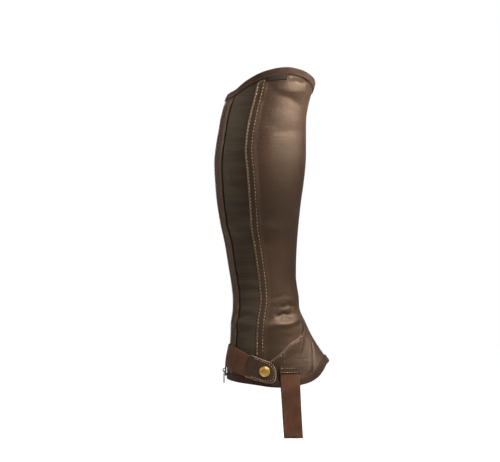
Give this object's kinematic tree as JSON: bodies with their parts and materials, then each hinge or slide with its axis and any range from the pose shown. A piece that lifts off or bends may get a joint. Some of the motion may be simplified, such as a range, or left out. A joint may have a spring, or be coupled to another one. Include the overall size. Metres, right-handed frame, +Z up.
{
  "type": "half chap",
  "caption": "Leather half chap for a rider's right lower leg, with a back zip, an elastic panel, an ankle strap with a snap and a stirrup strap under the boot.",
  "frame": {"origin": "the middle of the leg in the widest ring of the calf, where the wearer's calf fills the chap", "axes": "+Z up the leg, +X to the toe, -Y to the outer side of a right leg"},
  "size_m": [0.156, 0.1061, 0.5029],
  "materials": {
    "leather": "grained brown leather with a soft shine",
    "elastic": "ribbed dark elastic",
    "binding_tape": "matt woven tape",
    "webbing": "matt elastic webbing",
    "zip_tape": "matt woven zip tape",
    "dark_metal": "dark plated metal",
    "nickel": "nickel plated metal",
    "brass": "satin brass"
  },
  "bodies": {
    "chap": {"main_panel": "leather", "elastic_panel": "elastic", "zip_strip": "leather", "zip_tape_outer": "zip_tape", "zip_tape_inner": "zip_tape", "zip_chain": "dark_metal", "zip_top_box": "nickel", "zip_slider": "dark_metal", "tongue": "leather", "gusset_outer": "leather", "gusset_inner": "leather", "top_binding": "binding_tape", "hem_binding": "binding_tape", "label": "binding_tape", "ankle_strap": "webbing", "snap_tab": "leather", "snap_cap": "brass", "snap_socket": "brass", "stirrup_strap": "webbing", "stirrup_cap_outer": "binding_tape", "stirrup_cap_inner": "binding_tape"},
    "pull": {"pull_tab": "dark_metal"}
  },
  "joints": [
    {"name": "pull_swing", "type": "hinge", "parent": "chap", "child": "pull", "pos_m": [-0.0487, 0.0001, -0.2797], "axis": [0, 1, 0], "range_deg": [-2, 150]}
  ]
}
